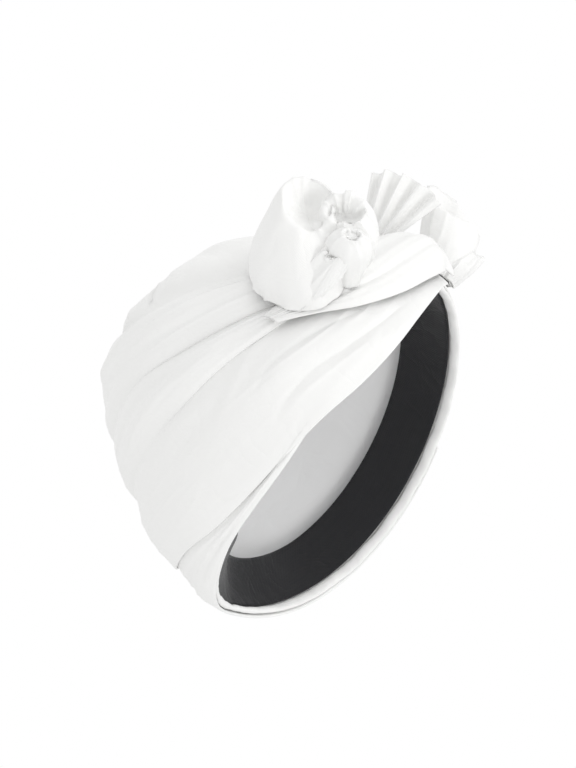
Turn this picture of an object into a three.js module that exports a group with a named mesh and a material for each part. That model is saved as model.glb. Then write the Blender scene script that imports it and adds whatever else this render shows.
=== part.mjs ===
// A turban headwrap in white cloth: a close cap with a black sweatband, four folded wraps that run
// round the back of the head, and a knot at the forehead with a rosette on each side and a frill between.
//
// Millimetres, +Z up. The origin is the centre of the head opening. The forehead is at -Y and +X is
// the wearer's left. Every layer is laid on one head form and placed by three numbers:
//   turn    degrees round the head from the centre of the forehead, positive towards the wearer's right
//   rise    degrees up the form, 0 at the opening's front and back points and 90 at the crown's top
//   offset  millimetres out from the head, square to it
import * as THREE from "three";

// Driving sizes.
const HEAD_LENGTH = 194; // opening, forehead to nape, inside the sweatband
const HEAD_WIDTH = 160; // opening, side to side
const CROWN_HEIGHT = 119; // head form above the front and back of the opening
const CROWN_LEAN = 2; // the crown's top lies this far behind the opening's centre
const RIM_FLARE = 3.5; // the opening is this much wider all round than the head form above it
const NAPE_TUCK = 3.8; // the back draws in this much more, halfway up
const EAR_DIP = 18; // the rim falls this far over the right ear
const FRONT_DIP = 6; // and a little more ahead of it
const LEFT_DIP = 17; // the rim falls this far over the left ear
const LEFT_BACK_DIP = 4.8; // and a little more behind it
const CLOTH = 1.4; // thickness of one folded wall of cloth
const GAP = 0.7; // clearance between neighbouring layers
const BAND_HEIGHT = 27; // black sweatband
const BAND_LEAN = 4; // its upper edge leans in this far
const BAND_THICK = 1.2;
const HEM_HEIGHT = 6; // white rolled hem below the sweatband
const HEM_LOW = 2; // its height at the back on the right, where it is rolled up
const OVERLAP = 3; // degrees that one wrap covers of the wrap below, at the back

// Offsets of the layers from the head.
const BAND_IN = 0;
const CAP_IN = BAND_IN + BAND_THICK + GAP;
const HEM_THICK = CAP_IN + CLOTH - BAND_IN;
const TUCKED = CAP_IN + CLOTH + GAP; // inner face of a wrap's hidden edge
const LAPPED = TUCKED + CLOTH + GAP; // inner face of a wrap's edge that lies over another
const SEAT = 12.6; // where the rosettes and the frill stand

const WHITE = new THREE.MeshStandardMaterial({ color: 0xf3f3f1, roughness: 0.62, metalness: 0 });
const LINING = new THREE.MeshStandardMaterial({ color: 0xe9e9e7, roughness: 0.7, metalness: 0 });
const BLACK = new THREE.MeshStandardMaterial({ color: 0x18181a, roughness: 0.85, metalness: 0 });

const rad = THREE.MathUtils.degToRad;
const lerp = THREE.MathUtils.lerp;
const wave = (degrees) => Math.sin(rad(degrees));

// The head form: an egg above the opening and an upright wall below it.
function onHead(turn, rise, offset) {
  const z = CROWN_HEIGHT * wave(rise);
  const halfway = THREE.MathUtils.smoothstep(z, 24, 58) * (1 - THREE.MathUtils.smoothstep(z, 85, 112));
  const nape = NAPE_TUCK * halfway * wave(turn / 2) ** 4;
  const flare = RIM_FLARE * THREE.MathUtils.smoothstep(z, 0, 34) + nape;
  const across = HEAD_WIDTH / 2 - flare;
  const along = HEAD_LENGTH / 2 - flare;
  const shrink = rise > 0 ? Math.cos(rad(rise)) : 1;
  const x = -across * wave(turn) * shrink;
  const y = -along * Math.cos(rad(turn)) * shrink;
  const out = new THREE.Vector3(x / across ** 2, y / along ** 2, Math.max(z, 0) / CROWN_HEIGHT ** 2);
  out.normalize().multiplyScalar(offset);
  const lean = (CROWN_LEAN * Math.max(z, 0)) / CROWN_HEIGHT;
  return new THREE.Vector3(x, y + lean, z).add(out);
}

const riseAt = (z) => THREE.MathUtils.radToDeg(Math.asin(z / CROWN_HEIGHT));

// Height of the sweatband's lower edge: level at the forehead and nape, lower over the ears.
function bandFoot(turn) {
  const side = wave(turn);
  const ahead = Math.cos(rad(turn));
  if (side > 0) return -(side ** 2) * (EAR_DIP + FRONT_DIP * ahead);
  return -(Math.abs(side) ** 1.1) * (LEFT_DIP - LEFT_BACK_DIP * ahead);
}

// Height of the hem, from the forehead (0) round by the right ear (90).
function hemHeight(turn) {
  const { smoothstep } = THREE.MathUtils;
  return lerp(HEM_HEIGHT, HEM_LOW, smoothstep(turn, 88, 128) * (1 - smoothstep(turn, 165, 215)));
}

// A table's columns at any turn, eased smoothly between its rows.
function tableAt(rows, turn) {
  const last = rows.length - 1;
  let i = rows.findIndex((row) => row.turn >= turn);
  if (i < 0) i = last;
  i = Math.max(i, 1);
  const row = (k) => rows[Math.min(Math.max(k, 0), last)];
  const t = THREE.MathUtils.clamp((turn - row(i - 1).turn) / (row(i).turn - row(i - 1).turn), 0, 1);
  const span = row(i).turn - row(i - 1).turn;
  const found = {};
  for (const key of Object.keys(rows[0])) {
    const slope = (k) => (row(k + 1)[key] - row(k - 1)[key]) / (row(k + 1).turn - row(k - 1).turn || 1);
    const [a, b] = [row(i - 1)[key], row(i)[key]];
    const [da, db] = [slope(i - 1) * span, slope(i) * span];
    found[key] =
      (2 * t ** 3 - 3 * t ** 2 + 1) * a +
      (t ** 3 - 2 * t ** 2 + t) * da +
      (3 * t ** 2 - 2 * t ** 3) * b +
      (t ** 3 - t ** 2) * db;
  }
  return found;
}

// Gathers vertices and triangles, giving points that coincide one index.
class Skin {
  constructor() {
    this.points = [];
    this.triangles = [];
    this.known = new Map();
  }
  vertex(point) {
    const key = point.toArray().map((v) => Math.round(v * 500)).join();
    if (!this.known.has(key)) {
      this.known.set(key, this.points.length / 3);
      this.points.push(...point.toArray());
    }
    return this.known.get(key);
  }
  quad(a, b, c, d) {
    for (const face of [[a, b, c], [a, c, d]]) {
      if (new Set(face).size === 3) this.triangles.push(...face);
    }
  }
  geometry() {
    const made = new THREE.BufferGeometry();
    made.setAttribute("position", new THREE.Float32BufferAttribute(this.points, 3));
    made.setIndex(this.triangles);
    made.computeVertexNormals();
    return made;
  }
}

// A wall of cloth as one closed body. face(s, w, side) gives a point of its outer (side 1) or inner
// (side 0) face, with s and w from 0 to 1. A ring closes on itself along s.
function clothWall(face, sSteps, wSteps, ring = false) {
  const skin = new Skin();
  const index = [0, 1].map((side) =>
    Array.from({ length: sSteps + 1 }, (_, i) =>
      Array.from({ length: wSteps + 1 }, (_, j) => {
        const s = ring && i === sSteps ? 0 : i / sSteps;
        return skin.vertex(face(s, j / wSteps, side));
      }),
    ),
  );
  const [inner, outer] = index;
  for (let i = 0; i < sSteps; i++) {
    for (let j = 0; j < wSteps; j++) {
      skin.quad(outer[i][j], outer[i][j + 1], outer[i + 1][j + 1], outer[i + 1][j]);
      skin.quad(inner[i][j], inner[i + 1][j], inner[i + 1][j + 1], inner[i][j + 1]);
    }
    skin.quad(outer[i][0], outer[i + 1][0], inner[i + 1][0], inner[i][0]);
    skin.quad(outer[i][wSteps], inner[i][wSteps], inner[i + 1][wSteps], outer[i + 1][wSteps]);
  }
  for (let j = 0; j < wSteps && !ring; j++) {
    skin.quad(outer[0][j], inner[0][j], inner[0][j + 1], outer[0][j + 1]);
    skin.quad(outer[sSteps][j], outer[sSteps][j + 1], inner[sSteps][j + 1], inner[sSteps][j]);
  }
  return skin.geometry();
}

const turban = new THREE.Group();

function add(name, geometry, material) {
  const mesh = new THREE.Mesh(geometry, material);
  mesh.name = name;
  turban.add(mesh);
}

// Sweatband: an upright ring inside the rim.
function sweatband() {
  const face = (s, w, side) => {
    const turn = 360 * s;
    const z = bandFoot(turn) + GAP + BAND_HEIGHT * w;
    return onHead(turn, riseAt(z), BAND_IN + BAND_THICK * side - BAND_LEAN * w);
  };
  return clothWall(face, 44, 3, true);
}

// Cap: one thin dome from the hem to the crown's top.
function cap() {
  const face = (s, w, side) => {
    const turn = 360 * s;
    const foot = riseAt(bandFoot(turn) + GAP);
    return onHead(turn, lerp(foot, 90, w ** 1.4), CAP_IN + CLOTH * side);
  };
  return clothWall(face, 44, 9, true);
}

// Rolled hem: the cap's edge turned under, a puckered ring below the cap and the sweatband.
function hem() {
  const puckers = 20;
  const face = (s, w, side) => {
    const turn = 360 * s;
    const pucker = 0.5 + 0.5 * wave(puckers * turn);
    const belly = Math.sin(Math.PI * w) * (0.35 + 0.35 * pucker);
    const z = bandFoot(turn) - hemHeight(turn) * (1 - w);
    const thin = HEM_THICK * (0.28 - 0.2 * belly) * (1 - 2 * side);
    return onHead(turn, riseAt(z), BAND_IN + HEM_THICK * side + thin);
  };
  return clothWall(face, 60, 3, true);
}

// Edges of the wraps in degrees of rise, from the forehead (turn 0) to the back of the head (180).
// Each wrap lies between two neighbouring columns and covers the top edge of the wrap below.
const EDGES = [
  { turn: 2, crown: 17, upper: 12, middle: 7, lower: -3 },
  { turn: 28, crown: 20, upper: 12, middle: 6.5, lower: -11.8 },
  { turn: 47, crown: 27, upper: 13, middle: 7.5, lower: -16 },
  { turn: 64, crown: 41, upper: 19, middle: 12, lower: -15.6 },
  { turn: 80, crown: 57, upper: 28, middle: 18, lower: -12.3 },
  { turn: 100, crown: 67, upper: 40, middle: 22.5, lower: -7.4 },
  { turn: 118, crown: 72, upper: 46, middle: 28, lower: -1.6 },
  { turn: 141, crown: 75, upper: 50, middle: 33, lower: 8.2 },
  { turn: 180, crown: 77, upper: 53, middle: 36, lower: 19 },
];

// One row for each wrap: its edges, how far it stands out from the cap at the forehead and at the back,
// and its long folds.
const WRAPS = [
  { name: "wrap_crown", high: "crown", low: "upper", front: 2.6, back: 4, folds: 2, fold: 0.9, lapTop: true },
  { name: "wrap_upper", high: "upper", low: "middle", front: 1.4, back: 2.2, folds: 1, fold: 0.6 },
  { name: "wrap_middle", high: "middle", low: "lower", front: 1.4, back: 1.6, folds: 4, fold: 1.1 },
  { name: "wrap_lower", high: "lower", low: "rim", front: 0.2, back: 0.8, folds: 1, fold: 0.3, flatFoot: true },
];

const WRAP_END = 1; // degrees from the forehead's centre where each end meets the other under the knot
const WRAP_LOW_END = 80; // the lowest wrap shows only behind this
const LEFT_LIFT = 2.4; // degrees that the main panel's edge stays above the rim on the wearer's left
const TOP_STAND = 2.6; // the crown wrap's top edge stands up this much at the back

function wrap({ high, low, front, back, folds, fold, lapTop = false, flatFoot = false }) {
  const start = flatFoot ? WRAP_LOW_END : WRAP_END;
  const face = (s, w, side) => {
    const round = lerp(start, 360 - start, s);
    const turn = Math.min(round, 360 - round);
    const edges = tableAt(EDGES, turn);
    edges.rim = riseAt(bandFoot(round) - hemHeight(round) - wave(round));
    if (round > 180) edges.lower = Math.max(edges.lower, edges.rim + LEFT_LIFT);
    const overlap = lerp(1, OVERLAP, Math.min(turn / 100, 1));
    const bottom = edges[low] - (flatFoot ? 0 : overlap / 2);
    const top = edges[high] + (lapTop ? 0 : overlap / 2);
    const width = Math.max(top - bottom, 1);
    const tuckedFrom = lapTop ? 1 : Math.max(1 - (1.35 * overlap) / width, 0.4);
    const shown = Math.min(w / tuckedFrom, 1);
    const swell = lerp(front, back, Math.min(turn / 110, 1)) * Math.abs(Math.sin(Math.PI * shown)) ** 0.75;
    const grow = Math.min(turn / 70, 1) * Math.sin(Math.PI * shown);
    const ripple = fold * grow * Math.sin(Math.PI * (2 * folds + 1) * shown + turn / 40);
    const topInner = lapTop ? LAPPED + TOP_STAND * Math.min(turn / 100, 1) : TUCKED;
    const onLower = low === "lower" ? THREE.MathUtils.smoothstep(turn, 58, 76) : 1;
    const footInner = flatFoot ? TUCKED : lerp(TUCKED, LAPPED, onLower);
    const base = lerp(footInner, topInner, THREE.MathUtils.smoothstep(w, 0.55 * tuckedFrom, tuckedFrom));
    const rise = lerp(bottom, top, w);
    return onHead(round, rise, base + swell + ripple + CLOTH * side);
  };
  return clothWall(face, flatFoot ? 28 : 40, flatFoot ? 3 : 6);
}

// The cloth over the top of the crown, with soft folds from side to side, tucked under the crown wrap.
function crownDrape() {
  const fold = 50;
  const face = (s, w, side) => {
    const round = 360 * s;
    const turn = Math.min(round, 360 - round);
    const foot = tableAt(EDGES, turn).crown - OVERLAP;
    const rise = lerp(foot, 90, w);
    const spot = onHead(round, rise, 0);
    const phase = (2 * Math.PI * (spot.y + 5)) / fold + spot.x / 60;
    const shown = THREE.MathUtils.smoothstep(rise - foot, OVERLAP * 2, OVERLAP * 6);
    return onHead(round, rise, TUCKED + 0.8 + shown * (1.3 + 1.7 * Math.cos(phase)) + CLOTH * side);
  };
  return clothWall(face, 36, 7, true);
}

// Knot strap: the pleated end of the wrap that crosses the forehead and goes under on the wearer's left.
const STRAP = [
  { turn: -10, low: 0, high: 5, inner: 9.8, swell: 3 },
  { turn: -3, low: -1.2, high: 8.5, inner: 9.9, swell: 7.4 },
  { turn: 6, low: -3.4, high: 11.5, inner: 9.9, swell: 8.4 },
  { turn: 19, low: -6.8, high: 13, inner: 9.9, swell: 4.1 },
  { turn: 32, low: -8.2, high: 13, inner: 9.9, swell: 1.4 },
  { turn: 44, low: -4.2, high: 12, inner: 9.9, swell: 1 },
  { turn: 53, low: 2, high: 12, inner: 9.9, swell: 0.9 },
  { turn: 62, low: 9.5, high: 13, inner: 10.2, swell: 0.4 },
];

function knotStrap() {
  const pleats = 2;
  const face = (s, w, side) => {
    const turn = lerp(STRAP[0].turn, STRAP.at(-1).turn, s);
    const { low, high, inner, swell } = tableAt(STRAP, turn);
    const pleat = 0.18 * swell * Math.sin(2 * Math.PI * (pleats * w + turn / 60));
    const belly = Math.sin(Math.PI * w) ** 0.6;
    return onHead(turn, lerp(low, high, w), inner + belly * (swell + pleat) + CLOTH * side);
  };
  return clothWall(face, 25, 7);
}

// A rosette is one strip of cloth wound outwards in a spiral, gathered at its foot, swelling like a
// bowl and turning in again at its ruffled lip. It stands on the wraps and follows the head's curve.
function rosette({ turn, rise, seat, radius, heart, height, turns, begin, mouth, ruffles, ruffle, puff, lean }) {
  const perDegree = rad(1) * ((HEAD_LENGTH + HEAD_WIDTH) / 4 + seat);
  const face = (s, w, side) => {
    const angle = begin + 360 * turns * s;
    const reach = lerp(heart, radius, s ** 0.85);
    const foot = 0.6;
    const bowl = foot + (1 - foot) * Math.sin(Math.PI * mouth * w ** 0.8) ** 0.9;
    const frilled = ruffle * w * w * Math.sin(rad(angle * ruffles)) * (reach / radius);
    const lumps = puff * Math.sin(Math.PI * w) * Math.sin(rad(angle * 3 + 40)) * (reach / radius);
    const wall = (side - 0.5) * CLOTH;
    const r = reach * bowl + frilled + lumps + wall * Math.cos(w * 1.2);
    const tall = height * lerp(1.05, 0.86, s) * w ** 0.85;
    const h = tall + ruffle * 0.5 * w * Math.sin(rad(angle * ruffles + 70)) + wall * Math.sin(w * 1.9);
    const p = r * Math.cos(rad(angle)) + lean.across * w;
    const q = r * Math.sin(rad(angle)) + lean.up * w;
    return onHead(turn + p / perDegree, rise + q / perDegree, seat + 0.6 + h);
  };
  return clothWall(face, Math.round(20 * turns), 6);
}

const ROSETTE_RIGHT = {
  turn: 38, rise: 11, seat: SEAT + 0.2, radius: 30, heart: 6, height: 34, turns: 2.2, begin: 200,
  mouth: 0.78, ruffles: 5, ruffle: 2.4, puff: 1.6, lean: { across: -1, up: 1 },
};
const ROSETTE_LEFT = {
  turn: -20, rise: 4, seat: SEAT - 3.6, radius: 14.5, heart: 4, height: 42, turns: 1.7, begin: 150,
  mouth: 0.72, ruffles: 4, ruffle: 2.2, puff: 1.4, lean: { across: 4, up: 9 },
};

// Centre frill: a pleated fan that opens upwards from the knot between the two rosettes.
function centreFrill() {
  const pleats = 4;
  const height = 36;
  const face = (s, w, side) => {
    const spread = lerp(0.37, 1, w ** 0.8);
    const rise = 14.5 - 3 * w + 9.5 * (s - 0.5) * 2 * spread;
    const pleat = lerp(0.6, 2.6, w) * Math.sin(2 * Math.PI * pleats * s);
    const turn = -1 - 2.5 * w + pleat + (side - 0.5) * CLOTH * 0.62;
    const tall = height * w * (1 - 0.2 * (2 * s - 1) ** 2);
    return onHead(turn, rise, SEAT - 2.1 + tall);
  };
  return clothWall(face, 32, 5);
}

add("sweatband", sweatband(), BLACK);
add("cap", cap(), LINING);
add("rim_hem", hem(), WHITE);
add("crown_drape", crownDrape(), WHITE);
for (const row of WRAPS) add(row.name, wrap(row), WHITE);
add("knot_strap", knotStrap(), WHITE);
add("rosette_right", rosette(ROSETTE_RIGHT), WHITE);
add("rosette_left", rosette(ROSETTE_LEFT), WHITE);
add("centre_frill", centreFrill(), WHITE);

export default turban;
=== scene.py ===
"""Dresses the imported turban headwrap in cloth: folded wraps, a knot strap, two rosettes, a frill,
a puckered hem, a lining and a woven sweatband, on a pale stage with a soft light and a camera."""

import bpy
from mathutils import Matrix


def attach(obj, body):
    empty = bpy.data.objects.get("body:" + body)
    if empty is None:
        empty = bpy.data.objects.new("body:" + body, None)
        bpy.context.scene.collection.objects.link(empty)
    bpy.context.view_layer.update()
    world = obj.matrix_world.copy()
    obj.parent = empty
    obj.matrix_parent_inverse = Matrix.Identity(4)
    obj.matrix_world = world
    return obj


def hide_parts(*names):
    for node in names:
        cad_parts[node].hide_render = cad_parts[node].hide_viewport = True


bl_info = {
    "name": "Turban Headwrap",
    "version": (1, 0, 0),
    "blender": (4, 5, 0),
    "location": "View3D > Sidebar > Turban",
    "description": "Folded white cloth, rosettes and a sweatband for a turban on its fixed frame",
    "category": "Add Mesh",
}

import bmesh
import bpy
import numpy as np
from bpy.props import FloatProperty, FloatVectorProperty, PointerProperty
from mathutils import Matrix, Vector

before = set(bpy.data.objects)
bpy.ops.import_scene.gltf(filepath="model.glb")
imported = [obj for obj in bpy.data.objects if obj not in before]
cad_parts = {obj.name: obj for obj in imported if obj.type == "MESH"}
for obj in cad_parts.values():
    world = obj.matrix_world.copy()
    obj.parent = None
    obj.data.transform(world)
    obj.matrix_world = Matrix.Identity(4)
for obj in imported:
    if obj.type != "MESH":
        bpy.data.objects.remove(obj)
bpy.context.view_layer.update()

MM = 0.001

# Layers, in millimetres out from the head form.
CAP_OUT = 3.3
TUCKED_OUT = 5.4
LAPPED_OUT = 7.0
DRAPE_OUT = 6.2
SEAT = 12.6

# Thickness of the outer cloth, and the radius of its folded edges, in millimetres.
CLOTH_WALL = 0.7
EDGE_ROLL = 0.7

# How wide a degree is on the cloth, in millimetres.
TURN_MM = 1.55
RISE_MM = 2.05


def table(columns, *rows):
    """A short table as a dict of its named columns."""
    return dict(zip(columns.split(), np.array(rows, float).T))


def read(rows, column, at, key="turn"):
    """A column of a table at any value of its key, eased smoothly between the rows."""
    x, y = rows[key], rows[column]
    last = len(x) - 1
    k = np.arange(last + 1)
    before, after = np.maximum(k - 1, 0), np.minimum(k + 1, last)
    slope = (y[after] - y[before]) / (x[after] - x[before])
    at = np.clip(at, x[0], x[-1])
    i = np.clip(np.searchsorted(x, at), 1, last)
    span = x[i] - x[i - 1]
    t = (at - x[i - 1]) / span
    start = (2 * t**3 - 3 * t**2 + 1) * y[i - 1] + (t**3 - 2 * t**2 + t) * slope[i - 1] * span
    return start + (3 * t**2 - 2 * t**3) * y[i] + (t**3 - t**2) * slope[i] * span


def mix(a, b, t):
    return a + (b - a) * t


def step(x, low, high):
    """0 below low and 1 above high, with a smooth rise between them."""
    t = np.clip((x - low) / (high - low), 0, 1)
    return t * t * (3 - 2 * t)


def wave(degrees):
    return np.sin(np.radians(degrees))


def noise(seed, x, y):
    """Smooth seeded noise from -1 to 1, with one feature for about each unit of x and y."""
    lattice = np.random.default_rng(seed).uniform(-1, 1, (61, 61))
    i, j = np.floor(x).astype(int), np.floor(y).astype(int)
    fx, fy = x - i, y - j
    fx = fx**3 * (6 * fx**2 - 15 * fx + 10)
    fy = fy**3 * (6 * fy**2 - 15 * fy + 10)
    corner = [lattice[(i + a) % 61, (j + b) % 61] for a, b in ((0, 0), (1, 0), (0, 1), (1, 1))]
    return mix(mix(corner[0], corner[1], fx), mix(corner[2], corner[3], fx), fy)


def creased(seed, x, y, sharp=3.0):
    """Narrow ridges from 0 to 1, where the noise passes through nought."""
    return (1 - np.abs(noise(seed, x, y))) ** sharp


# Edges of the wraps, in degrees up the head form, from the forehead (turn 0) to the back (180).
EDGES = table(
    "turn crown upper middle lower",
    (2, 17, 12, 7, -7),
    (28, 20, 12, 6.5, -13),
    (47, 26, 12.5, 7.5, -16),
    (64, 41, 21, 12, -15.6),
    (80, 52, 30, 17.6, -12.3),
    (100, 65, 41.5, 23.3, -7.4),
    (118, 72, 46.5, 28.5, -1.6),
    (141, 75, 50, 33, 8.2),
    (180, 77, 53, 36, 19),
)


class HeadForm:
    """The form of the head that every layer lies on. A place on it is a turn in degrees from the
    forehead towards the wearer's right, a rise in degrees, and an offset outwards in millimetres."""

    def __init__(self, sizes):
        self.length = sizes.head_length / MM
        self.width = sizes.head_width / MM
        self.crown = sizes.crown_height / MM
        self.lean = sizes.crown_lean / MM
        self.flare = sizes.rim_flare / MM
        self.nape = sizes.nape_tuck / MM
        self.ear_dip = sizes.ear_dip / MM
        self.front_dip = sizes.front_dip / MM
        self.left_dip = sizes.left_dip / MM
        self.left_back_dip = sizes.left_back_dip / MM
        self.band = sizes.band_height / MM
        self.hem = sizes.hem_height / MM
        self.hem_low = sizes.hem_low / MM
        self.folds = sizes.fold_depth
        self.wrinkles = sizes.wrinkle_depth

    def point(self, turn, rise, offset):
        """Points in metres, one row each."""
        turn, rise, offset = np.broadcast_arrays(turn, rise, offset)
        z = self.crown * wave(rise)
        halfway = step(z, 24, 58) * (1 - step(z, 85, 112))
        flare = self.flare * step(z, 0, 34) + self.nape * halfway * wave(turn / 2) ** 4
        across = self.width / 2 - flare
        along = self.length / 2 - flare
        shrink = np.where(rise > 0, np.cos(np.radians(rise)), 1)
        x = -across * wave(turn) * shrink
        y = -along * np.cos(np.radians(turn)) * shrink
        high = np.maximum(z, 0)
        out = np.stack([x / across**2, y / along**2, high / self.crown**2], 1)
        out /= np.linalg.norm(out, axis=1)[:, None]
        spot = np.stack([x, y + self.lean * high / self.crown, z], 1)
        return (spot + out * offset[:, None]) * MM

    def rise_at(self, height):
        return np.degrees(np.arcsin(height / self.crown))

    def band_foot(self, turn):
        """Height of the sweatband's lower edge: level at front and back, lower over the ears."""
        side, ahead = wave(turn), np.cos(np.radians(turn))
        right = side**2 * (self.ear_dip + self.front_dip * ahead)
        left = np.abs(side) ** 1.1 * (self.left_dip - self.left_back_dip * ahead)
        return -np.where(side > 0, right, left)

    def hem_height(self, turn):
        """The hem is rolled up at the back on the right."""
        return mix(self.hem, self.hem_low, step(turn, 88, 128) * (1 - step(turn, 165, 215)))

    def rim(self, turn):
        """Rise of the wraps' lowest edge at the back."""
        return self.rise_at(self.band_foot(turn) - self.hem_height(turn) - wave(turn))


# Cloth

def smooth_line(points, steps=18):
    """A smooth line through a few points."""
    points = np.array(points, float)
    rows = {"at": np.arange(len(points), dtype=float), "x": points[:, 0], "y": points[:, 1]}
    at = np.linspace(0, len(points) - 1, steps)
    return np.stack([read(rows, "x", at, "at"), read(rows, "y", at, "at")], 1)


def along_line(points, x, y):
    """Distance from a line, and how far along it, 0 to 1."""
    line = smooth_line(points)
    lengths = np.linalg.norm(np.diff(line, axis=0), axis=1)
    reach = np.full(x.shape, np.inf)
    along = np.zeros(x.shape)
    done = 0.0
    for start, end, length in zip(line[:-1], line[1:], lengths):
        ab = (end - start) / length
        t = np.clip((x - start[0]) * ab[0] + (y - start[1]) * ab[1], 0, length)
        dx, dy = x - start[0] - t * ab[0], y - start[1] - t * ab[1]
        far = np.hypot(dx, dy)
        nearer = far < reach
        reach = np.where(nearer, far, reach)
        along = np.where(nearer, (done + t) / lengths.sum(), along)
        done += length
    return reach, along


def fold_height(folds, turn, rise):
    """Millimetres that a list of folds lifts the cloth. A fold is its kind, its height or depth, its
    width and its line as places on the head. A ridge of less than 0 is a soft valley."""
    x, y = turn * TURN_MM, rise * RISE_MM
    height = np.zeros(x.shape)
    for kind, depth, width, line in folds:
        scaled = [(a * TURN_MM, b * RISE_MM) for a, b in line]
        far, along = along_line(scaled, x, y)
        ends = step(along, 0, 0.25) * step(1 - along, 0, 0.3)
        if kind == "ridge":
            shape = np.exp(-((far / width) ** 2))
        else:
            shape = -np.exp(-far / width)
        height += depth * ends * shape
    return height


def laid_part(columns, rows, place, flat):
    """A grid of cloth laid where place says, with its UVs in metres of flat cloth."""
    bm = bmesh.new()
    bm.loops.layers.uv.new("cloth")
    bmesh.ops.create_grid(bm, x_segments=columns, y_segments=rows, size=1, calc_uvs=True)
    mesh = bpy.data.meshes.new("cloth part")
    bm.to_mesh(mesh)
    bm.free()
    spots = np.empty(len(mesh.vertices) * 3, np.float32)
    mesh.vertices.foreach_get("co", spots)
    spots = spots.reshape(-1, 3).astype(float)
    placed = place((spots[:, 0] + 1) / 2, (spots[:, 1] + 1) / 2)
    mesh.vertices.foreach_set("co", placed.astype(np.float32).ravel())
    layer = mesh.uv_layers["cloth"].uv
    uvs = np.empty(len(layer) * 2, np.float32)
    layer.foreach_get("vector", uvs)
    layer.foreach_set("vector", (uvs.reshape(-1, 2) * np.array(flat)).astype(np.float32).ravel())
    return mesh


def sewn(name, parts, wall, centre=(0, 0, 0.03), merge=0.0):
    """One piece from laid parts: merged, turned to face away from its centre, and given a wall."""
    bm = bmesh.new()
    for part in parts:
        bm.from_mesh(part)
        bpy.data.meshes.remove(part)
    if merge:
        bmesh.ops.remove_doubles(bm, verts=bm.verts, dist=merge)
    bmesh.ops.recalc_face_normals(bm, faces=bm.faces)
    middle = Vector(centre)
    inwards = sum(f.normal.dot(f.calc_center_median() - middle) * f.calc_area() for f in bm.faces) < 0
    if inwards:
        bmesh.ops.reverse_faces(bm, faces=bm.faces)
    mesh = bpy.data.meshes.new(name)
    bm.to_mesh(mesh)
    bm.free()
    mesh.shade_smooth()
    piece = bpy.data.objects.new(name, mesh)
    bpy.context.scene.collection.objects.link(piece)
    thick = piece.modifiers.new("wall", "SOLIDIFY")
    thick.thickness = wall * MM
    thick.offset = -1
    return piece


def join_frame(piece, node, material):
    """Puts a piece on the frame in the place of its solid, with its finish."""
    piece.data.materials.append(material)
    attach(piece, "root")
    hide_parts(node)


def folded_rows(v, lap, roll, foot, top):
    """Where the rows of a grid lie on a wall with folded edges: the place across its face, the
    millimetres past the face's ends (less than 0 beyond them) and the millimetres under it."""
    share = 0.14
    low, high = share if foot else 0.0, 1 - share if top else 1.0
    across = np.clip((v - low) / (high - low), 0, 1)
    back_low = np.zeros(v.shape)
    back_high = np.zeros(v.shape)
    under = np.zeros(v.shape)
    ends = []
    if foot:
        ends.append((1 - v / share, back_low))
    if top:
        ends.append((1 - (1 - v) / share, back_high))
    for hidden, back in ends:
        turned = np.pi * np.clip(hidden / 0.5, 0, 1)
        tucked = np.clip((hidden - 0.5) / 0.5, 0, 1)
        inside = hidden > 0
        back += np.where(inside, lap * tucked - roll * np.sin(turned), 0)
        under += np.where(inside, roll * (1 - np.cos(turned)), 0)
    return across, back_low, back_high, under


# Materials

def new_node(tree, kind, inputs=(), **settings):
    """A node with its settings made and its inputs given a value or linked to a socket."""
    made = tree.nodes.new(kind)
    for key, value in settings.items():
        setattr(made, key, value)
    for key, value in dict(inputs).items():
        if isinstance(value, bpy.types.NodeSocket):
            tree.links.new(value, made.inputs[key])
        else:
            made.inputs[key].default_value = value
    return made


def calc(tree, operation, a, b=0.0, c=0.0):
    made = new_node(tree, "ShaderNodeMath", {0: a, 1: b, 2: c}, operation=operation)
    return made.outputs[0]


def new_group(name, inputs, outputs):
    """An empty shader node group with float or vector sockets."""
    group = bpy.data.node_groups.new(name, "ShaderNodeTree")
    for label, kind, value in inputs:
        socket = group.interface.new_socket(label, in_out="INPUT", socket_type=kind)
        if kind == "NodeSocketFloat":
            socket.default_value = value
    for label in outputs:
        group.interface.new_socket(label, in_out="OUTPUT", socket_type="NodeSocketFloat")
    return group, group.nodes.new("NodeGroupInput"), group.nodes.new("NodeGroupOutput")


def weave_group():
    """Plain weave: threads that pass over and under each other, some thicker than others."""
    known = bpy.data.node_groups.get("Plain weave")
    if known:
        return known
    group, given, made = new_group(
        "Plain weave",
        [("Vector", "NodeSocketVector", None), ("Threads", "NodeSocketFloat", 2600.0)],
        ["Height", "Slub"],
    )
    scaled = new_node(group, "ShaderNodeVectorMath", {0: given.outputs["Vector"]}, operation="SCALE")
    group.links.new(given.outputs["Threads"], scaled.inputs["Scale"])
    parts = new_node(group, "ShaderNodeSeparateXYZ", {0: scaled.outputs[0]})
    across = calc(group, "SINE", calc(group, "MULTIPLY", parts.outputs[0], np.pi))
    down = calc(group, "SINE", calc(group, "MULTIPLY", parts.outputs[1], np.pi))
    over = calc(group, "MULTIPLY_ADD", calc(group, "MULTIPLY", across, down), 0.5, 0.5)
    stretched = new_node(
        group, "ShaderNodeMapping", {"Vector": scaled.outputs[0], "Scale": (0.012, 0.4, 1.0)}
    )
    slub = new_node(
        group, "ShaderNodeTexNoise", {"Vector": stretched.outputs[0], "Scale": 1.0, "Detail": 2.0}
    )
    group.links.new(over, made.inputs["Height"])
    group.links.new(slub.outputs[0], made.inputs["Slub"])
    return group


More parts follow.
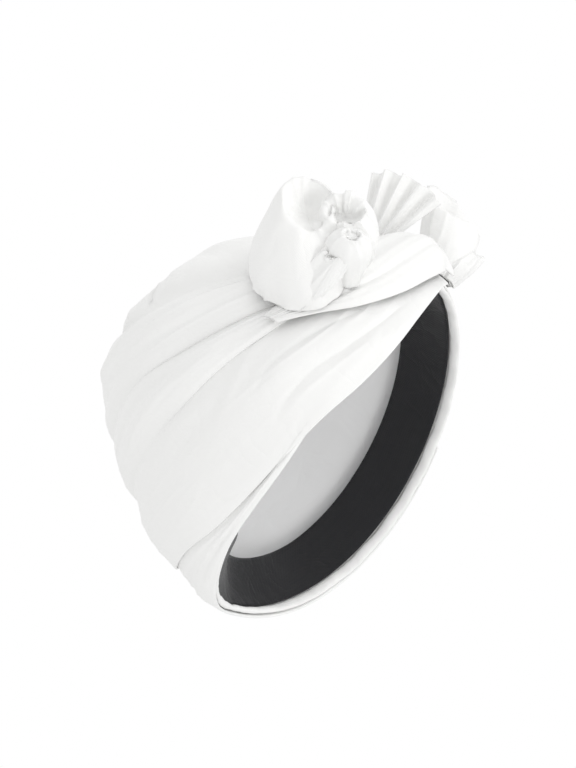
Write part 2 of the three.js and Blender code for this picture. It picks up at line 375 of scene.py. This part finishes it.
def crumple_group():
    """Soft creases that cloth keeps from handling, a few millimetres to a few centimetres wide."""
    known = bpy.data.node_groups.get("Cloth crumple")
    if known:
        return known
    group, given, made = new_group(
        "Cloth crumple",
        [("Vector", "NodeSocketVector", None), ("Size", "NodeSocketFloat", 0.02)],
        ["Height", "Shade"],
    )
    near = calc(group, "DIVIDE", 1.0, given.outputs["Size"])
    soft = new_node(
        group,
        "ShaderNodeTexNoise",
        {"Vector": given.outputs["Vector"], "Scale": near, "Detail": 3.0, "Distortion": 0.7},
    )
    ridges = calc(group, "ABSOLUTE", calc(group, "MULTIPLY_ADD", soft.outputs[0], 2.0, -1.0))
    group.links.new(calc(group, "POWER", ridges, 0.7), made.inputs["Height"])
    wide = new_node(
        group,
        "ShaderNodeTexNoise",
        {"Vector": given.outputs["Vector"], "Scale": calc(group, "MULTIPLY", near, 0.4)},
    )
    group.links.new(wide.outputs[0], made.inputs["Shade"])
    return group


def woven_material(name, colour, threads, thread_depth, crumple, crumple_depth, rough, sheen, shade):
    """Woven cloth: weave and crumple as bump, and a slight change of shade and roughness."""
    material = bpy.data.materials.new(name)
    material.use_nodes = True
    tree = material.node_tree
    shader = tree.nodes["Principled BSDF"]
    shader.inputs["Sheen Weight"].default_value = sheen
    shader.inputs["Sheen Roughness"].default_value = 0.45
    shader.inputs["Specular IOR Level"].default_value = 0.35
    uv = new_node(tree, "ShaderNodeUVMap", uv_map="cloth")
    place = new_node(tree, "ShaderNodeTexCoord")
    weave = tree.nodes.new("ShaderNodeGroup")
    weave.node_tree = weave_group()
    weave.inputs["Threads"].default_value = threads
    tree.links.new(uv.outputs[0], weave.inputs["Vector"])
    folds = tree.nodes.new("ShaderNodeGroup")
    folds.node_tree = crumple_group()
    folds.inputs["Size"].default_value = crumple
    tree.links.new(place.outputs["Object"], folds.inputs["Vector"])
    dark = tuple(c * shade for c in colour)
    light = tuple(min(c * (2 - shade), 1.0) for c in colour)
    patches = calc(tree, "MULTIPLY", folds.outputs["Shade"], 0.6)
    spread = calc(tree, "MULTIPLY_ADD", weave.outputs["Slub"], 0.4, patches)
    tint = new_node(
        tree, "ShaderNodeMix", {0: spread, 6: (*dark, 1), 7: (*light, 1)}, data_type="RGBA"
    )
    tree.links.new(tint.outputs[2], shader.inputs["Base Color"])
    worn = calc(tree, "MULTIPLY_ADD", weave.outputs["Slub"], 0.16, rough - 0.08)
    tree.links.new(worn, shader.inputs["Roughness"])
    coarse = new_node(
        tree, "ShaderNodeBump", {"Height": folds.outputs["Height"], "Distance": crumple_depth}
    )
    fine = new_node(
        tree,
        "ShaderNodeBump",
        {"Height": weave.outputs["Height"], "Distance": thread_depth, "Normal": coarse.outputs[0]},
    )
    tree.links.new(fine.outputs[0], shader.inputs["Normal"])
    return material


def white_cloth():
    known = bpy.data.materials.get("White cloth")
    colour = tuple(bpy.context.scene.turban_colours.cloth)
    return known or woven_material("White cloth", colour, 2600, 4e-5, 0.024, 4e-4, 0.66, 0.2, 0.975)


def lining_cloth():
    known = bpy.data.materials.get("Lining cloth")
    colour = tuple(bpy.context.scene.turban_colours.lining)
    return known or woven_material("Lining cloth", colour, 2300, 5e-5, 0.03, 6e-4, 0.75, 0.1, 0.96)


def band_cloth():
    known = bpy.data.materials.get("Sweatband")
    colour = tuple(bpy.context.scene.turban_colours.band)
    return known or woven_material("Sweatband", colour, 1500, 1.2e-4, 0.02, 5e-4, 0.8, 0.35, 0.75)


# Wraps

WRAPS = {
    "wrap_crown": dict(high="crown", low="upper", front=2.6, back=4.0, lap_top=True, seed=11),
    "wrap_upper": dict(high="upper", low="middle", front=1.4, back=2.2, lap_top=False, seed=12),
    "wrap_middle": dict(high="middle", low="lower", front=1.4, back=1.6, lap_top=False, seed=13),
    "wrap_lower": dict(high="lower", low="rim", front=0.2, back=0.8, lap_top=False, seed=14),
}
WRAP_END = 1
WRAP_LOW_END = 80
LEFT_LIFT = 2.4
TOP_STAND = 2.6
OVERLAP = 3.0

FOLDS = {
    "wrap_crown": [
        ("ridge", 1.3, 4.0, [(50, 23), (60, 30.4), (66, 36), (74, 43.5), (90, 54), (120, 64), (160, 68)]),
        ("ridge", -1.3, 4.5, [(50, 19), (65, 26.6), (76, 33.4), (92, 43), (118, 54), (160, 60)]),
    ],
    "wrap_upper": [
        ("ridge", -1.1, 4.0, [(72, 19), (81, 23.5), (91, 28.5), (103, 34.6), (124, 39), (165, 43)]),
        ("ridge", 0.9, 3.0, [(70, 17), (81, 21), (89, 24.3), (96, 27.8), (113, 32), (140, 36)]),
    ],
    "wrap_middle": [
        ("crease", 1.3, 2.2, [(28, -10.3), (44, -10.1), (57, -8.2), (68, -5.3), (79, -4.5), (92, -6)]),
        ("crease", 1.2, 2.4, [(39, -6.5), (53, -1.3), (65, 2.8), (76, 4.1), (88, 2.4)]),
        ("ridge", 0.9, 4.0, [(60, 9), (74, 11.4), (84, 9.7), (98, 8)]),
        ("ridge", 0.8, 4.5, [(27, -13), (42, -14.8), (57, -13), (70, -12.7), (84, -11.4)]),
        ("ridge", 1.0, 5.0, [(80, 9), (87, 13.2), (96, 16.9), (104, 20), (116, 23)]),
    ],
    "wrap_lower": [],
}


def wrap_place(head, name, high, low, front, back, lap_top, seed):
    flat_foot = low == "rim"
    start = WRAP_LOW_END if flat_foot else WRAP_END

    def place(u, v):
        across, back_low, back_high, under = folded_rows(v, 6.0, EDGE_ROLL, True, lap_top)
        around = mix(start, 360 - start, u)
        turn = np.minimum(around, 360 - around)
        edges = {key: read(EDGES, key, turn) for key in ("crown", "upper", "middle", "lower")}
        edges["rim"] = head.rim(around)
        above_rim = np.maximum(edges["lower"], edges["rim"] + LEFT_LIFT)
        edges["lower"] = np.where(around > 180, above_rim, edges["lower"])
        overlap = mix(1, OVERLAP, np.minimum(turn / 100, 1))
        bottom = edges[low] - (0 if flat_foot else overlap / 2)
        top = edges[high] + (0 if lap_top else overlap / 2)
        width = np.maximum(top - bottom, 1)
        w = across + (back_low - back_high) / (width * RISE_MM)
        inner = np.clip(w, 0, 1)
        tucked = 1.0 if lap_top else np.maximum(1 - 1.35 * overlap / width, 0.4)
        shown = np.minimum(inner / tucked, 1)
        swell = mix(front, back, np.minimum(turn / 110, 1)) * np.sin(np.pi * shown) ** 0.75
        top_out = LAPPED_OUT + TOP_STAND * np.minimum(turn / 100, 1) if lap_top else TUCKED_OUT
        on_lower = step(turn, 58, 76) if low == "lower" else 1.0
        foot_out = TUCKED_OUT if flat_foot else mix(TUCKED_OUT, LAPPED_OUT, on_lower)
        if low in ("upper", "middle"):
            foot_out = foot_out - 0.5 - 1.1 * step(turn, 84, 116)
        base = mix(foot_out, top_out, step(inner, 0.55 * tucked, tucked))
        rise = bottom + (top - bottom) * w
        free = np.sin(np.pi * shown)
        side = np.where(around > 180, 0.8, 1.0)
        folds = head.folds * fold_height(FOLDS[name], turn, rise) * side
        gathers = creased(seed, turn / 34 + 7, shown * 5.2 + np.where(around > 180, 9, 0))
        soft = noise(seed + 40, turn / 26 + 3, shown * 3 + np.where(around > 180, 5, 0))
        fine = creased(seed + 80, around / 9, shown * 11 + turn / 60, 2.0)
        near_knot = 1 - step(turn, 40, 120)
        relief = gathers * mix(0.6, 1.3, near_knot) + soft * 1.1 + fine * 0.2
        raised = (folds + head.wrinkles * relief * free) * np.where(shown < 1, 1, 0.3)
        return head.point(around, rise, base + swell + raised - under)

    return place


def build_wraps(head):
    grids = {
        "wrap_crown": (250, 66, (0.46, 0.055)),
        "wrap_upper": (250, 50, (0.50, 0.042)),
        "wrap_middle": (290, 100, (0.56, 0.07)),
        "wrap_lower": (220, 44, (0.34, 0.034)),
    }
    for name, row in WRAPS.items():
        columns, rows, flat = grids[name]
        part = laid_part(columns, rows, wrap_place(head, name, **row), flat)
        piece = sewn(name + "_cloth", [part], CLOTH_WALL)
        join_frame(piece, name, white_cloth())


# Crown

CROWN_FOLDS = [
    ("ridge", -3.2, 10.0, [(52, 20), (48, 28.6), (46, 33.2), (40, 40.2), (34, 47.6), (28, 54.8), (24, 62)]),
    ("crease", 1.8, 1.6, [(48, 66), (57, 63.9), (64, 60.5), (71, 56.1), (76, 51)]),
    ("ridge", 1.6, 8.0, [(40, 60), (52, 55), (62, 50), (70, 44)]),
]


def build_crown(head):
    def place(u, v):
        around = 360 * u
        turn = np.minimum(around, 360 - around)
        foot = read(EDGES, "crown", turn) - OVERLAP
        rise = mix(foot, 90, v)
        spot = head.point(around, rise, 0.0) / MM
        phase = 2 * np.pi * (spot[:, 1] + 5) / 50 + spot[:, 0] / 60
        shown = step(rise - foot, OVERLAP * 2, OVERLAP * 6)
        gathers = creased(31, spot[:, 1] / 17 + spot[:, 0] / 120, spot[:, 0] / 60)
        soft = noise(32, spot[:, 0] / 34, spot[:, 1] / 22)
        relief = head.wrinkles * (gathers + soft)
        folds = head.folds * fold_height(CROWN_FOLDS, turn, rise)
        top = 1 - step(rise, 62, 82)
        raised = shown * (2.0 + 1.5 * np.cos(phase) + relief + folds * top)
        return head.point(around, rise, DRAPE_OUT + 1 - shown + raised)

    flat = (0.26, 0.18)
    part = laid_part(240, 70, place, flat)
    piece = sewn("crown_drape_cloth", [part], CLOTH_WALL, merge=1e-5)
    join_frame(piece, "crown_drape", white_cloth())


# Inside and rim

def build_cap(head):
    def place(u, v):
        around = 360 * u
        foot = head.rise_at(head.band_foot(around) + 0.7)
        rise = mix(foot, 90, v**1.2)
        high = step(v, 0.1, 0.5)
        soft = noise(51, around / 24, rise / 20) * 0.5
        pleats = creased(52, around / 15, rise / 55) * 0.6 * (1 - v)
        return head.point(around, rise, CAP_OUT - high * (soft + pleats) * head.wrinkles * 1.5)

    flat = (0.34, 0.34)
    part = laid_part(200, 60, place, flat)
    piece = sewn("cap_lining", [part], 0.9, merge=1e-5)
    join_frame(piece, "cap", lining_cloth())


# How far the sweatband's upper edge leans in. At the back on the right it has flopped over.
BAND_LEAN = table(
    "turn lean",
    (0, 4),
    (92, 4),
    (112, 14),
    (130, 24),
    (160, 24),
    (185, 16),
    (206, 12),
    (228, 6),
    (360, 4),
)


def build_sweatband(head):
    def place(u, v):
        around = 360 * u
        lean = read(BAND_LEAN, "lean", around)
        tall = np.sqrt(head.band**2 - lean**2)
        z = head.band_foot(around) + 0.7 + tall * v
        soft = noise(61, around / 20, v * 1.5) * 0.35 + noise(62, around / 7, v * 2) * 0.15
        inside = 1.4 - lean * v**1.2 + soft * np.sin(np.pi * v)
        return head.point(around, head.rise_at(z), inside)

    flat = (0.56, 0.028)
    part = laid_part(300, 14, place, flat)
    piece = sewn("sweatband_weave", [part], 1.0, merge=1e-5)
    join_frame(piece, "sweatband", band_cloth())


def build_hem(head):
    def place(u, v):
        around = 360 * u
        pucker = noise(71, around / 4.2, v * 0 + 3) * 0.7 + noise(72, around / 1.9, v * 2) * 0.5
        turned = 2 * np.pi * v
        high = head.hem_height(around)
        middle = -high / 2 + 0.35 * pucker * np.minimum(high / 5, 1)
        tall = (high / 2) * np.cos(turned)
        deep = (1.55 + 0.5 * pucker) * np.sin(turned)
        z = head.band_foot(around) + middle + tall
        return head.point(around, head.rise_at(z), 1.7 + deep)

    flat = (0.56, 0.013)
    part = laid_part(460, 12, place, flat)
    piece = sewn("rim_hem_roll", [part], 0.5, merge=1e-5)
    join_frame(piece, "rim_hem", white_cloth())


# Knot

STRAP = table(
    "turn low high inner swell",
    (-10, -4, 5, 9.8, 3),
    (-3, -3.5, 8.5, 9.9, 7.4),
    (6, -6.6, 11.5, 9.9, 8.4),
    (19, -8.4, 13, 9.9, 4.1),
    (32, -8.2, 13, 9.9, 1.4),
    (44, -4.2, 12, 9.9, 1),
    (53, 2, 12, 9.9, 0.9),
    (62, 9.5, 13, 10.2, 0.4),
)


def build_strap(head):
    def place(u, v):
        across, back_low, back_high, under = folded_rows(v, 3.0, EDGE_ROLL, True, True)
        turn = mix(STRAP["turn"][0], STRAP["turn"][-1], u)
        low, high, inner, swell = (read(STRAP, key, turn) for key in ("low", "high", "inner", "swell"))
        width = high - low
        w = across + (back_low - back_high) / (width * RISE_MM)
        inner_w = np.clip(w, 0, 1)
        belly = np.sin(np.pi * inner_w) ** 0.6
        wander = inner_w + 0.05 * noise(83, turn / 18, inner_w * 2)
        tubes = np.abs(np.sin(np.pi * 3.4 * wander)) ** 0.7
        fine = np.abs(np.sin(np.pi * 9 * wander + turn / 30)) ** 0.8
        near_knot = 1 - step(turn, 22, 60)
        pleats = tubes * mix(0.5, 1.7, near_knot) + fine * 0.45
        rise = low + width * w
        raised = belly * (swell - 0.8 * near_knot + head.wrinkles * pleats)
        return head.point(turn, rise, inner + 1.4 + raised - under)

    flat = (0.14, 0.05)
    part = laid_part(150, 70, place, flat)
    piece = sewn("knot_strap_cloth", [part], CLOTH_WALL)
    join_frame(piece, "knot_strap", white_cloth())


# A rosette is made of lobes. A place in it is so many millimetres left and near, as the camera
# sees it, and a height above its seat.
RIGHT_ROSETTE = dict(turn=38, rise=11, seat=13.4, near=-31.3)
LEFT_ROSETTE = dict(turn=-20, rise=4, seat=9.6, near=-30.7)

# A lobe is a ring of ribs. Each rib starts at the bottom of the mouth, rolls over the top, swells to
# its belly and ends at its foot. Angle 0 is the near side and 90 the left. Lengths are millimetres.
RIB = "angle mouth roll top belly middle foot"
RIGHT_LOBES = {
    "cup": dict(foot=(5, -3), mouth=(4, 1), depth=9, gathers=9, crumple=1.0, seed=101, ribs=table(
        RIB,
        (0, 9, 2, 31, 30, 12, 35),
        (45, 8, 2, 35, 27, 14, 32),
        (90, 7, 2, 41, 21, 17, 25),
        (135, 8, 2.4, 43, 17, 20, 16),
        (180, 9, 2.5, 43, 14, 22, 11),
        (225, 8, 2.2, 40, 11, 20, 9),
        (270, 7, 2, 36, 10, 16, 9),
        (315, 8, 2, 31, 18, 13, 19),
    )),
    "petal": dict(foot=(-9, -4), mouth=(-8.5, 2), depth=6, gathers=7, crumple=1.2, seed=102, ribs=table(
        RIB,
        (0, 2.5, 2, 30, 13, 18, 11),
        (90, 5.5, 1.8, 34, 10, 18, 9),
        (180, 3, 2, 41, 12, 22, 11),
        (270, 5.5, 1.8, 35, 12, 18, 10),
    )),
    "bulb": dict(foot=(-10, 12), mouth=(-11.8, 14), depth=1, gathers=6, crumple=0.5, seed=103, ribs=table(
        RIB,
        (0, 2, 1.5, 33, 8, 24, 5),
        (90, 2.5, 1.5, 34, 8.5, 25, 5),
        (180, 2, 1.5, 33, 8, 24, 5),
        (270, 2, 1.5, 33, 8, 23, 5),
    )),
    "tail": dict(foot=(9, 31), mouth=(-7, 18), depth=1, gathers=5, crumple=0.8, seed=105, ribs=table(
        RIB,
        (0, 1.5, 2, 25, 5, 12, 1.5),
        (90, 3, 2, 25, 6, 12, 2.5),
        (180, 1.5, 2, 26, 5, 12, 1.5),
        (270, 3, 2, 24, 7, 12, 2.5),
    )),
    "far_loop": dict(foot=(4, -18), mouth=(5, -18), depth=14, gathers=7, crumple=0.9, seed=104, ribs=table(
        RIB,
        (0, 5, 2, 34, 10, 20, 9),
        (90, 5, 2, 31, 14, 16, 11),
        (180, 5, 2, 29, 14, 14, 12),
        (270, 5, 2, 32, 12, 18, 10),
    )),
}
LEFT_LOBES = {
    "cup": dict(foot=(-2, 0), mouth=(5, -1), depth=16, gathers=7, crumple=0.6, seed=111, ribs=table(
        RIB,
        (0, 5, 2, 31, 9, 15, 7),
        (60, 8, 2, 33, 10, 16, 7),
        (110, 12, 1.6, 45, 12, 20, 7),
        (140, 12, 1.4, 50, 12, 24, 7),
        (180, 8, 1.4, 47, 10, 24, 7),
        (225, 9, 1.6, 39, 10, 20, 7),
        (270, 9, 2, 33, 11, 19, 7),
        (315, 6, 2, 33, 10, 16, 7),
    )),
    "curl": dict(foot=(-5, 4), mouth=(-9, 4), depth=8, gathers=5, crumple=0.7, seed=112, ribs=table(
        RIB,
        (0, 2, 1.6, 20, 6, 9, 5),
        (90, 3, 1.6, 21, 7, 10, 6),
        (180, 2, 1.6, 23, 6, 10, 5),
        (270, 2, 1.6, 22, 5, 10, 4),
    )),
}

KNOTS = np.array([0.0, 0.1, 0.22, 0.36, 0.68, 1.0])


def ring_read(ribs, column, angle):
    """A column of a lobe's ribs at any angle, smooth all the way round."""
    angles, values = ribs["angle"], ribs[column]
    around = {
        "angle": np.concatenate([angles - 360, angles, angles + 360]),
        column: np.tile(values, 3),
    }
    return read(around, column, angle % 360, "angle")


def through(knots, values, v):
    """A smooth curve at v through one value at each knot. Each value is an array like v."""
    values = np.stack(values)
    last = len(knots) - 1
    i = np.clip(np.searchsorted(knots, v), 1, last)
    pick = np.arange(v.size)

    def slope(k):
        before, after = np.maximum(k - 1, 0), np.minimum(k + 1, last)
        return (values[after, pick] - values[before, pick]) / (knots[after] - knots[before])

    span = knots[i] - knots[i - 1]
    t = (v - knots[i - 1]) / span
    start = (2 * t**3 - 3 * t**2 + 1) * values[i - 1, pick] + (t**3 - 2 * t**2 + t) * slope(i - 1) * span
    return start + (3 * t**2 - 2 * t**3) * values[i, pick] + (t**3 - t**2) * slope(i) * span


def lifted(base, u, v, height):
    """Points of a surface moved out from it by a height in millimetres."""
    small = 0.002
    spots = base(u, v)
    across = base(u + small, v) - base(u - small, v)
    down = base(u, np.clip(v + small, 0, 1)) - base(u, np.clip(v - small, 0, 1))
    out = np.cross(across, down)
    out /= np.maximum(np.linalg.norm(out, axis=1), 1e-12)[:, None]
    return spots + out * height[:, None] * MM


def lobe_place(head, seat, lobe):
    per_degree = np.radians(1) * ((head.length + head.width) / 4 + seat["seat"])
    turned = np.radians(seat["near"])

    def base(u, v):
        angle = 360 * u
        mouth, roll, top, belly, middle, foot = (
            ring_read(lobe["ribs"], key, angle) for key in RIB.split()[1:]
        )
        floor = lobe["ribs"]["top"].mean() - lobe["depth"] + 0 * top
        out = through(KNOTS, [0 * mouth, 0.7 * mouth, mouth, mouth + roll, belly, foot], v)
        tall = through(KNOTS, [floor, mix(floor, top, 0.2), top - roll, top, middle, 0 * top], v)
        up = np.clip(tall / top, 0, 1)
        left = out * wave(angle) + mix(lobe["foot"][0], lobe["mouth"][0], up)
        near = out * np.cos(np.radians(angle)) + mix(lobe["foot"][1], lobe["mouth"][1], up)
        p = near * np.cos(turned) - left * np.sin(turned)
        q = near * np.sin(turned) + left * np.cos(turned)
        return head.point(seat["turn"] + p / per_degree, seat["rise"] + q / per_degree, seat["seat"] + tall)

    def place(u, v):
        angle = 360 * u
        seed, crumple = lobe["seed"], lobe["crumple"] * head.wrinkles
        round_ = np.cos(np.radians(angle)), wave(angle)
        folds = creased(seed, 5 + 2.2 * round_[0] + v, 5 + 2.2 * round_[1] + v, 2.5)
        soft = noise(seed + 1, 3 + 1.6 * round_[0], 3 + 1.6 * round_[1] + 1.5 * v)
        often = lobe["gathers"] * 0.5
        gathers = creased(seed + 2, 9 + often * round_[0], 9 + often * round_[1])
        free = step(v, 0, 0.15)
        height = crumple * (1.2 * folds + 1.4 * soft) * free + 1.6 * gathers * step(v, 0.7, 1.0)
        return lifted(base, u, v, height)

    return place


def build_rosette(head, node, seat, lobes):
    parts = [laid_part(120, 60, lobe_place(head, seat, lobe), (0.10, 0.06)) for lobe in lobes.values()]
    piece = sewn(node + "_lobes", parts, CLOTH_WALL, merge=1e-5)
    join_frame(piece, node, white_cloth())


def build_frill(head):
    def place(u, v):
        spread = mix(0.37, 1, v**0.8)
        rise = 15 - 2 * v + 8 * (2 * u - 1) * spread
        pleat = mix(0.5, 1.7, v) * wave(360 * 4 * u) + 0.2 * v * wave(360 * 9 * u)
        tall = 36 * v * (1 - 0.2 * (2 * u - 1) ** 2) + v * (7 * u**2 + 0.8 * noise(91, 9 * u, 0 * v))
        return head.point(-1 - 2.5 * v + pleat, rise, SEAT - 2.1 + tall)

    flat = (0.07, 0.042)
    part = laid_part(160, 40, place, flat)
    piece = sewn("centre_frill_fan", [part], CLOTH_WALL, (0, -0.08, 0.0))
    join_frame(piece, "centre_frill", white_cloth())


# Stage

VIEW_SIDE = 8
VIEW_BELOW = 25
VIEW_ROLL = 57.2
VIEW_DISTANCE = 1.5
VIEW_MM_PER_PIXEL = 0.513
IMAGE = (576, 768)
ORIGIN_PIXEL = (326.5, 442.0)
SENSOR = 36.0


def view_axes():
    """The photograph's right, up and towards-the-camera directions."""
    side, below, roll = np.radians([VIEW_SIDE, VIEW_BELOW, VIEW_ROLL])
    towards = Vector((-np.cos(side) * np.cos(below), -np.sin(side) * np.cos(below), -np.sin(below)))
    level = Vector((np.sin(side), -np.cos(side), 0))
    upright = Vector((-np.cos(side) * np.sin(below), -np.sin(side) * np.sin(below), np.cos(below)))
    right = level * np.cos(roll) - upright * np.sin(roll)
    up = level * np.sin(roll) + upright * np.cos(roll)
    return right, up, towards


def place_camera():
    right, up, towards = view_axes()
    pixel = VIEW_MM_PER_PIXEL * MM
    spot = towards * VIEW_DISTANCE
    spot += right * (IMAGE[0] / 2 - ORIGIN_PIXEL[0]) * pixel
    spot -= up * (IMAGE[1] / 2 - ORIGIN_PIXEL[1]) * pixel
    data = bpy.data.cameras.new("Camera")
    data.sensor_width = SENSOR
    data.lens = SENSOR * VIEW_DISTANCE / (IMAGE[1] * pixel)
    data.clip_end = 20
    camera = bpy.data.objects.new("Camera", data)
    camera.matrix_world = Matrix((right, up, towards)).transposed().to_4x4()
    camera.location = spot
    bpy.context.scene.collection.objects.link(camera)
    bpy.context.scene.camera = camera


def place_light(name, direction, distance, size, power):
    data = bpy.data.lights.new(name, "AREA")
    data.shape = "DISK"
    data.size = size
    data.energy = power
    light = bpy.data.objects.new(name, data)
    light.location = direction.normalized() * distance
    light.rotation_euler = direction.to_track_quat("Z", "Y").to_euler()
    bpy.context.scene.collection.objects.link(light)


def build_stage():
    right, up, towards = view_axes()
    bm = bmesh.new()
    bmesh.ops.create_grid(bm, x_segments=1, y_segments=1, size=4)
    bmesh.ops.translate(bm, verts=bm.verts, vec=(0, 0, -1.1))
    mesh = bpy.data.meshes.new("Floor")
    bm.to_mesh(mesh)
    bm.free()
    floor = bpy.data.objects.new("Floor", mesh)
    bpy.context.scene.collection.objects.link(floor)
    pale = bpy.data.materials.new("Pale floor")
    pale.use_nodes = True
    pale.node_tree.nodes["Principled BSDF"].inputs["Base Color"].default_value = (0.85, 0.85, 0.85, 1)
    mesh.materials.append(pale)
    world = bpy.data.worlds.new("Studio")
    world.use_nodes = True
    tree = world.node_tree
    fill = tree.nodes["Background"]
    fill.inputs["Color"].default_value = (1, 1, 1, 1)
    fill.inputs["Strength"].default_value = 0.93
    seen = new_node(tree, "ShaderNodeBackground", {"Color": (1, 1, 1, 1), "Strength": 1.0})
    ray = tree.nodes.new("ShaderNodeLightPath")
    both = new_node(
        tree, "ShaderNodeMixShader", {0: ray.outputs["Is Camera Ray"], 1: fill.outputs[0], 2: seen.outputs[0]}
    )
    tree.links.new(both.outputs[0], tree.nodes["World Output"].inputs["Surface"])
    bpy.context.scene.world = world
    bpy.context.scene.view_settings.view_transform = "Standard"
    place_light("Key", right * 0.7 + up * 0.75 + towards * 0.35, 1.6, 0.9, 4.6)
    place_light("Inside", Vector((0, 0, -0.8)) + towards * 0.4, 1.2, 0.9, 8.0)
    place_camera()


# Add-on

class TurbanSizes(bpy.types.PropertyGroup):
    """Sizes of the head form and of the cloth laid on it."""

    head_length: FloatProperty(
        name="Head length", description="Opening, forehead to nape", default=0.194, unit="LENGTH"
    )
    head_width: FloatProperty(
        name="Head width", description="Opening, side to side", default=0.160, unit="LENGTH"
    )
    crown_height: FloatProperty(
        name="Crown height", description="Head form above the opening", default=0.119, unit="LENGTH"
    )
    crown_lean: FloatProperty(
        name="Crown lean", description="How far back the crown's top lies", default=0.002, unit="LENGTH"
    )
    rim_flare: FloatProperty(
        name="Rim flare", description="How much the opening widens", default=0.0035, unit="LENGTH"
    )
    nape_tuck: FloatProperty(
        name="Nape tuck", description="How much more the back draws in", default=0.0038, unit="LENGTH"
    )
    ear_dip: FloatProperty(
        name="Ear dip", description="How far the rim falls over the right ear", default=0.018, unit="LENGTH"
    )
    front_dip: FloatProperty(
        name="Front dip", description="Further fall ahead of that ear", default=0.006, unit="LENGTH"
    )
    left_dip: FloatProperty(
        name="Left dip", description="How far the rim falls over the left ear", default=0.017, unit="LENGTH"
    )
    left_back_dip: FloatProperty(
        name="Left back dip", description="Further fall behind that ear", default=0.0048, unit="LENGTH"
    )
    band_height: FloatProperty(
        name="Band height", description="Height of the sweatband", default=0.027, unit="LENGTH"
    )
    hem_height: FloatProperty(
        name="Hem height", description="Height of the rolled hem", default=0.006, unit="LENGTH"
    )
    hem_low: FloatProperty(
        name="Hem low", description="Its height at the back on the right", default=0.002, unit="LENGTH"
    )
    fold_depth: FloatProperty(
        name="Fold depth", description="Strength of the placed folds", default=1.0, subtype="FACTOR"
    )
    wrinkle_depth: FloatProperty(
        name="Wrinkle depth", description="Strength of the loose wrinkles", default=1.0, subtype="FACTOR"
    )


class TurbanColours(bpy.types.PropertyGroup):
    """Colours of the cloths."""

    cloth: FloatVectorProperty(
        name="Cloth", description="Wraps and rosettes", default=(0.9, 0.9, 0.89), subtype="COLOR"
    )
    lining: FloatVectorProperty(
        name="Lining", description="Inside of the cap", default=(0.9, 0.9, 0.9), subtype="COLOR"
    )
    band: FloatVectorProperty(
        name="Band", description="Sweatband", default=(0.012, 0.012, 0.014), subtype="COLOR"
    )


class TURBAN_OT_inside(bpy.types.Operator):
    """Add the lining, the sweatband and the rolled hem"""

    bl_idname = "turban.add_inside"
    bl_label = "Lining, Sweatband and Hem"

    def execute(self, context):
        head = HeadForm(context.scene.turban_sizes)
        build_cap(head)
        build_sweatband(head)
        build_hem(head)
        return {"FINISHED"}


class TURBAN_OT_crown(bpy.types.Operator):
    """Add the cloth over the top of the crown"""

    bl_idname = "turban.add_crown"
    bl_label = "Crown Drape"

    def execute(self, context):
        build_crown(HeadForm(context.scene.turban_sizes))
        return {"FINISHED"}


class TURBAN_OT_wraps(bpy.types.Operator):
    """Add the four folded wraps"""

    bl_idname = "turban.add_wraps"
    bl_label = "Wraps"

    def execute(self, context):
        build_wraps(HeadForm(context.scene.turban_sizes))
        return {"FINISHED"}


class TURBAN_OT_strap(bpy.types.Operator):
    """Add the pleated strap that crosses the forehead"""

    bl_idname = "turban.add_strap"
    bl_label = "Knot Strap"

    def execute(self, context):
        build_strap(HeadForm(context.scene.turban_sizes))
        return {"FINISHED"}


class TURBAN_OT_rosettes(bpy.types.Operator):
    """Add the two rosettes"""

    bl_idname = "turban.add_rosettes"
    bl_label = "Rosettes"

    def execute(self, context):
        head = HeadForm(context.scene.turban_sizes)
        build_rosette(head, "rosette_right", RIGHT_ROSETTE, RIGHT_LOBES)
        build_rosette(head, "rosette_left", LEFT_ROSETTE, LEFT_LOBES)
        return {"FINISHED"}


class TURBAN_OT_frill(bpy.types.Operator):
    """Add the pleated frill between the rosettes"""

    bl_idname = "turban.add_frill"
    bl_label = "Centre Frill"

    def execute(self, context):
        build_frill(HeadForm(context.scene.turban_sizes))
        return {"FINISHED"}


class TURBAN_OT_stage(bpy.types.Operator):
    """Set the floor, the light and the camera"""

    bl_idname = "turban.set_stage"
    bl_label = "Stage"

    def execute(self, context):
        build_stage()
        return {"FINISHED"}


class TURBAN_PT_panel(bpy.types.Panel):
    """Lists the turban's sizes, colours and pieces"""

    bl_label = "Turban Headwrap"
    bl_idname = "TURBAN_PT_panel"
    bl_space_type = "VIEW_3D"
    bl_region_type = "UI"
    bl_category = "Turban"

    def draw(self, context):
        column = self.layout.column()
        for group in (context.scene.turban_sizes, context.scene.turban_colours):
            for name in group.__annotations__:
                column.prop(group, name)
        for operator in OPERATORS:
            column.operator(operator.bl_idname)


OPERATORS = (
    TURBAN_OT_inside,
    TURBAN_OT_crown,
    TURBAN_OT_wraps,
    TURBAN_OT_strap,
    TURBAN_OT_rosettes,
    TURBAN_OT_frill,
    TURBAN_OT_stage,
)
CLASSES = (TurbanSizes, TurbanColours, *OPERATORS, TURBAN_PT_panel)


def register():
    for cls in CLASSES:
        bpy.utils.register_class(cls)
    bpy.types.Scene.turban_sizes = PointerProperty(type=TurbanSizes)
    bpy.types.Scene.turban_colours = PointerProperty(type=TurbanColours)


def unregister():
    del bpy.types.Scene.turban_colours
    del bpy.types.Scene.turban_sizes
    for cls in reversed(CLASSES):
        bpy.utils.unregister_class(cls)


def main():
    register()
    bpy.ops.turban.add_inside()
    bpy.ops.turban.add_crown()
    bpy.ops.turban.add_wraps()
    bpy.ops.turban.add_strap()
    bpy.ops.turban.add_rosettes()
    bpy.ops.turban.add_frill()
    bpy.ops.turban.set_stage()


if __name__ == "__main__":
    main()
